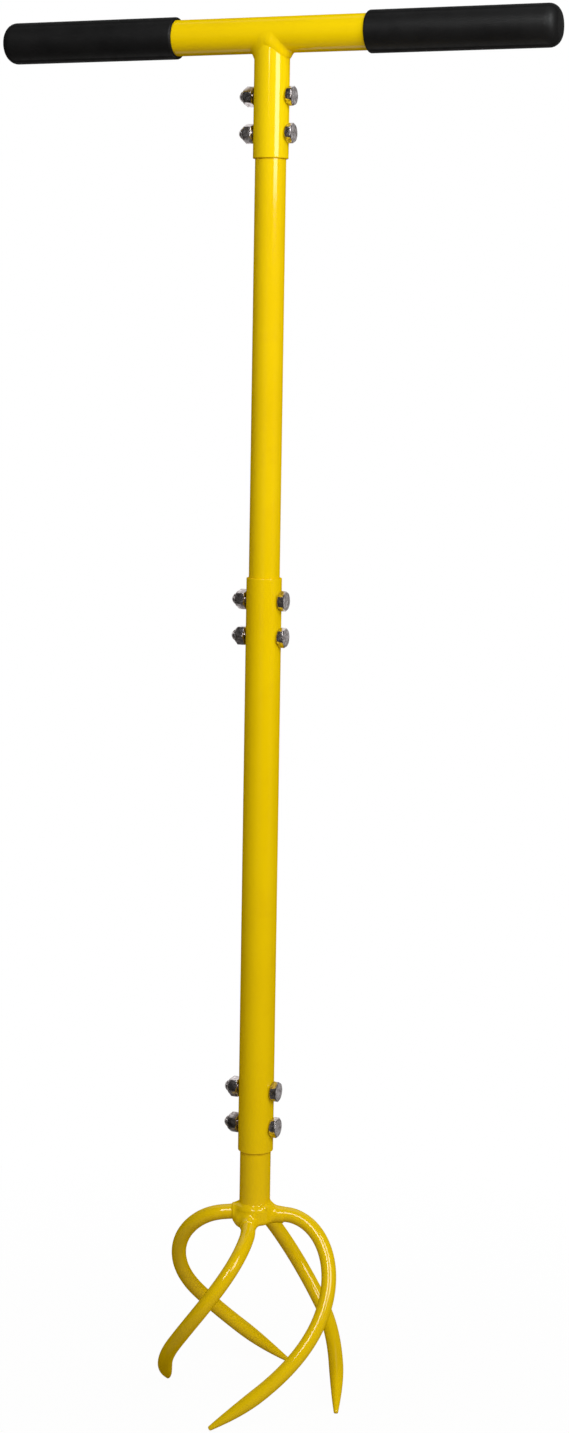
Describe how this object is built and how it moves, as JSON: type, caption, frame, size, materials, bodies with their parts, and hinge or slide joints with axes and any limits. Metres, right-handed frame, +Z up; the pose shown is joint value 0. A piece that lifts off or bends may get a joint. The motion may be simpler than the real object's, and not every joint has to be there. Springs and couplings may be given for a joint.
{
  "type": "twist tiller",
  "caption": "Waist-high hand tiller: T-handle with soft grips on a bolted telescoped shaft, with a head of twisted round tines that screws into soil when turned.",
  "frame": {"origin": "on the shaft's axis, at the height of the four tine tips", "axes": "+Z up along the shaft, X along the crossbar and the bolts with the bolt heads at +X, Y across the handle"},
  "size_m": [0.4234, 0.1395, 0.9973],
  "materials": {
    "yellow_paint": "glossy yellow powder coat over steel",
    "grip_rubber": "matte black with a fine grain",
    "zinc_steel": "bright zinc plate",
    "nylon": "natural nylon"
  },
  "bodies": {
    "root": {"crossbar": "yellow_paint", "tee_socket": "yellow_paint", "saddle_weld": "yellow_paint", "upper_tube": "yellow_paint", "lower_tube": "yellow_paint", "tine_stem": "yellow_paint", "hub_boss": "yellow_paint", "stem_weld": "yellow_paint", "tine_1": "yellow_paint", "tine_2": "yellow_paint", "tine_3": "yellow_paint", "tine_4": "yellow_paint", "tine_weld_1": "yellow_paint", "tine_weld_2": "yellow_paint", "tine_weld_3": "yellow_paint", "tine_weld_4": "yellow_paint", "grip_left": "grip_rubber", "grip_right": "grip_rubber", "bolt_tee_1": "zinc_steel", "lock_nut_tee_1": "zinc_steel", "bolt_tee_2": "zinc_steel", "lock_nut_tee_2": "zinc_steel", "bolt_middle_1": "zinc_steel", "lock_nut_middle_1": "zinc_steel", "bolt_middle_2": "zinc_steel", "lock_nut_middle_2": "zinc_steel", "bolt_foot_1": "zinc_steel", "lock_nut_foot_1": "zinc_steel", "bolt_foot_2": "zinc_steel", "lock_nut_foot_2": "zinc_steel", "nylon_insert_tee_1": "nylon", "nylon_insert_tee_2": "nylon", "nylon_insert_middle_1": "nylon", "nylon_insert_middle_2": "nylon", "nylon_insert_foot_1": "nylon", "nylon_insert_foot_2": "nylon"}
  },
  "joints": []
}
